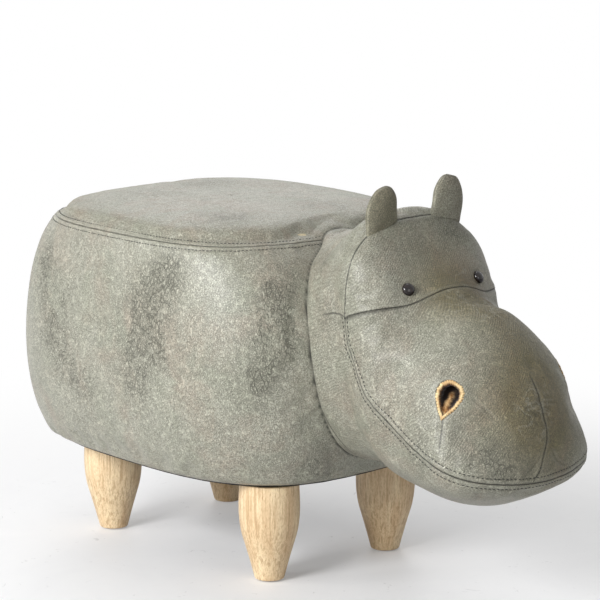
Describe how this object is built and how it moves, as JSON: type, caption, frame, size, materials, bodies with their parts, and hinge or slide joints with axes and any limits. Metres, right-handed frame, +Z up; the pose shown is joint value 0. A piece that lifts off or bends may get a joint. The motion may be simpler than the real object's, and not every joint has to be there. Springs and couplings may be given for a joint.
{
  "type": "animal footstool",
  "caption": "Low upholstered footstool in the shape of a hippopotamus, with a padded seat, a stuffed head and turned wooden legs.",
  "frame": {"origin": "on the floor under the middle of the overall box", "axes": "+X towards the head, +Y to the animal's left, +Z up"},
  "size_m": [0.7244, 0.3606, 0.437],
  "materials": {
    "hide_faux_leather": "grey-green distressed suede-like faux leather, soft sheen",
    "lining_suede": "orange-brown suede",
    "foam": "open-cell polyurethane foam",
    "fibre_stuffing": "packed polyester fibre",
    "plywood": "unfinished plywood",
    "hardboard": "bent hardboard",
    "softwood": "planed softwood",
    "turned_wood": "pale rubberwood, clear satin lacquer",
    "zinc_plated_steel": "zinc plated",
    "eye_black": "gloss black",
    "washer_plastic": "natural nylon",
    "felt": "pressed felt",
    "dust_cloth": "black non-woven cloth"
  },
  "bodies": {
    "root": {"barrel_wrap": "hardboard", "base_board": "plywood", "base_screw_front_left": "zinc_plated_steel", "base_screw_front_right": "zinc_plated_steel", "base_screw_keel": "zinc_plated_steel", "base_screw_rear_left": "zinc_plated_steel", "base_screw_rear_right": "zinc_plated_steel", "dust_cover": "dust_cloth", "ear_cover_left": "hide_faux_leather", "ear_cover_right": "hide_faux_leather", "ear_foam_left": "foam", "ear_foam_right": "foam", "eye_left": "eye_black", "eye_right": "eye_black", "eye_washer_left": "washer_plastic", "eye_washer_right": "washer_plastic", "foot_pad_front_left": "felt", "foot_pad_front_right": "felt", "foot_pad_rear_left": "felt", "foot_pad_rear_right": "felt", "forehead_cover": "hide_faux_leather", "frame_post_front_left": "softwood", "frame_post_front_right": "softwood", "frame_post_rear_left": "softwood", "frame_post_rear_right": "softwood", "hanger_bolt_front_left": "zinc_plated_steel", "hanger_bolt_front_right": "zinc_plated_steel", "hanger_bolt_rear_left": "zinc_plated_steel", "hanger_bolt_rear_right": "zinc_plated_steel", "head_keel_board": "plywood", "head_stuffing": "fibre_stuffing", "leg_front_left": "turned_wood", "leg_front_right": "turned_wood", "leg_rear_left": "turned_wood", "leg_rear_right": "turned_wood", "muzzle_cover": "hide_faux_leather", "neck_and_jaw_cover": "hide_faux_leather", "nostril_lining_left": "lining_suede", "nostril_lining_right": "lining_suede", "seat_board": "plywood", "seat_cover": "hide_faux_leather", "seat_foam": "foam", "seat_screw_front_left": "zinc_plated_steel", "seat_screw_front_right": "zinc_plated_steel", "seat_screw_keel": "zinc_plated_steel", "seat_screw_rear_left": "zinc_plated_steel", "seat_screw_rear_right": "zinc_plated_steel", "side_cover": "hide_faux_leather", "side_foam": "foam", "tee_nut_front_left": "zinc_plated_steel", "tee_nut_front_right": "zinc_plated_steel", "tee_nut_rear_left": "zinc_plated_steel", "tee_nut_rear_right": "zinc_plated_steel"}
  },
  "joints": []
}
